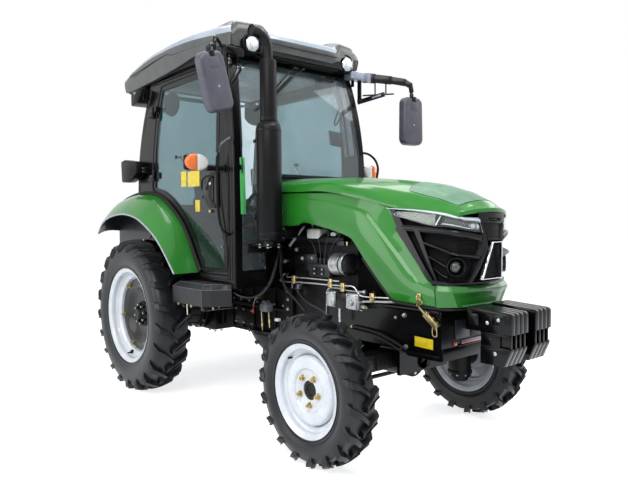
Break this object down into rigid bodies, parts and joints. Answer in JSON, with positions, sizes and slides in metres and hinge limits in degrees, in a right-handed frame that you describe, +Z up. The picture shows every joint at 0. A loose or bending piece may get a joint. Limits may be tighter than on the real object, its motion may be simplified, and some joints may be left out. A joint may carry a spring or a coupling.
{
  "type": "municipal tractor",
  "caption": "Compact cab tractor with a green tipping hood and fenders, steered front axle, hinged doors, front weights and a rear three-point hitch.",
  "frame": {"origin": "on the ground under the middle of the tractor's outline", "axes": "+X forward, +Y to the driver's left, +Z up; wheels straight ahead, doors and hood shut, hitch half raised"},
  "size_m": [3.5, 1.76, 2.3879],
  "materials": {
    "tyre_rubber": "matte",
    "wheel_white": "gloss",
    "wheel_black": "satin",
    "chassis_black": "satin",
    "casting": "satin",
    "bare_steel": "satin",
    "body_green": "gloss",
    "grille_black": "matte",
    "cab_black": "gloss",
    "cab_glass": "gloss",
    "roof_grey": "gloss",
    "liner_dark": "matte",
    "step_grey": "matte",
    "mirror_grey": "satin",
    "lamp_black": "satin",
    "seat_fabric": "matte",
    "exhaust_black": "satin"
  },
  "bodies": {
    "chassis": {"front_axle_beam": "casting", "front_frame": "chassis_black", "front_weights": "chassis_black", "engine_block": "casting", "radiator": "chassis_black", "transmission_case": "casting", "front_drive_shaft": "casting", "rear_axle_housing": "casting", "pto_shaft": "bare_steel", "drawbar": "chassis_black", "fender_left": "body_green", "fender_right": "body_green", "step_box_left": "step_grey", "step_box_right": "step_grey", "cab_side_left": "cab_black", "cab_side_right": "cab_black", "windshield": "cab_glass", "cab_front_wall": "cab_black", "cab_rear_wall": "cab_black", "rear_window": "cab_glass", "cab_floor": "cab_black", "roof_shell": "roof_grey", "roof_liner": "liner_dark", "lamps": "lamp_black", "seat_frame": "cab_black", "seat_cushion": "seat_fabric", "seat_back": "seat_fabric", "dash_console": "liner_dark", "exhaust_stack": "exhaust_black", "mirror_left": "mirror_grey", "mirror_right": "mirror_grey"},
    "hood": {"hood_top": "body_green", "hood_side_left": "body_green", "hood_side_right": "body_green", "nose_band": "body_green", "hood_grille": "grille_black"},
    "door_left": {"door_frame_left": "cab_black", "door_glass_left": "cab_glass"},
    "door_right": {"door_frame_right": "cab_black", "door_glass_right": "cab_glass"},
    "knuckle_left": {"knuckle_left": "casting"},
    "knuckle_right": {"knuckle_right": "casting"},
    "tie_rod": {"tie_rod": "chassis_black"},
    "front_wheel_left": {"front_tyre_left": "tyre_rubber", "front_rim_left": "wheel_white"},
    "front_wheel_right": {"front_tyre_right": "tyre_rubber", "front_rim_right": "wheel_white"},
    "rear_wheel_left": {"rear_tyre_left": "tyre_rubber", "rear_rim_left": "wheel_white", "rear_disc_left": "wheel_black"},
    "rear_wheel_right": {"rear_tyre_right": "tyre_rubber", "rear_rim_right": "wheel_white", "rear_disc_right": "wheel_black"},
    "steering_wheel": {"steering_wheel": "liner_dark"},
    "lift_arms": {"lift_arms": "chassis_black"},
    "lower_links": {"lower_links": "chassis_black"},
    "lift_rods": {"lift_rods": "chassis_black"},
    "top_link": {"top_link": "chassis_black"}
  },
  "joints": [
    {"name": "steer_right", "type": "hinge", "parent": "chassis", "child": "knuckle_right", "pos_m": [0.971, -0.53, 0.364], "axis": [0, 0, 1], "range_deg": [-40, 40]},
    {"name": "steer_left", "type": "hinge", "parent": "chassis", "child": "knuckle_left", "pos_m": [0.971, 0.53, 0.364], "axis": [0, 0, 1], "range_deg": [-40, 40]},
    {"name": "tie_rod_pivot", "type": "hinge", "parent": "knuckle_right", "child": "tie_rod", "pos_m": [0.843, -0.53, 0.307], "axis": [0, 0, 1], "range_deg": [-40, 40]},
    {"name": "steering_wheel_turn", "type": "hinge", "parent": "chassis", "child": "steering_wheel", "pos_m": [-0.19, 0, 1.32], "axis": [-0.6198, 0, 0.7848], "range_deg": [-400, 400]},
    {"name": "front_wheel_left_spin", "type": "hinge", "parent": "knuckle_left", "child": "front_wheel_left", "pos_m": [0.971, 0.619, 0.364], "axis": [0, 1, 0], "continuous": true},
    {"name": "front_wheel_right_spin", "type": "hinge", "parent": "knuckle_right", "child": "front_wheel_right", "pos_m": [0.971, -0.619, 0.364], "axis": [0, 1, 0], "continuous": true},
    {"name": "rear_wheel_left_spin", "type": "hinge", "parent": "chassis", "child": "rear_wheel_left", "pos_m": [-0.89, 0.643, 0.525], "axis": [0, 1, 0], "continuous": true},
    {"name": "rear_wheel_right_spin", "type": "hinge", "parent": "chassis", "child": "rear_wheel_right", "pos_m": [-0.89, -0.643, 0.525], "axis": [0, 1, 0], "continuous": true},
    {"name": "door_left_hinge", "type": "hinge", "parent": "chassis", "child": "door_left", "pos_m": [-0.86, 0.545, 1.49], "axis": [0, 0, 1], "range_deg": [0, 75]},
    {"name": "door_right_hinge", "type": "hinge", "parent": "chassis", "child": "door_right", "pos_m": [-0.86, -0.545, 1.49], "axis": [0, 0, -1], "range_deg": [0, 75]},
    {"name": "hood_hinge", "type": "hinge", "parent": "chassis", "child": "hood", "pos_m": [0.206, 0, 1.405], "axis": [0, -1, 0], "range_deg": [0, 50]},
    {"name": "lift_arm_pivot", "type": "hinge", "parent": "chassis", "child": "lift_arms", "pos_m": [-1.19, 0, 0.72], "axis": [0, 1, 0], "range_deg": [-14, 42]},
    {"name": "lower_link_pivot", "type": "hinge", "parent": "chassis", "child": "lower_links", "pos_m": [-0.98, 0, 0.4], "axis": [0, 1, 0], "range_deg": [-8, 24]},
    {"name": "lift_rod_pivot", "type": "hinge", "parent": "lift_arms", "child": "lift_rods", "pos_m": [-1.42, 0, 0.7], "axis": [0, 1, 0], "range_deg": [-42, 14]},
    {"name": "top_link_pivot", "type": "hinge", "parent": "chassis", "child": "top_link", "pos_m": [-1.275, 0, 0.64], "axis": [0, 1, 0], "range_deg": [-10, 25]}
  ],
  "couplings": [
    {"joint": "steer_left", "follows": "steer_right", "ratio": 1},
    {"joint": "tie_rod_pivot", "follows": "steer_right", "ratio": -1},
    {"joint": "steering_wheel_turn", "follows": "steer_right", "ratio": 10},
    {"joint": "lower_link_pivot", "follows": "lift_arm_pivot", "ratio": 0.5714},
    {"joint": "lift_rod_pivot", "follows": "lift_arm_pivot", "ratio": -1}
  ]
}
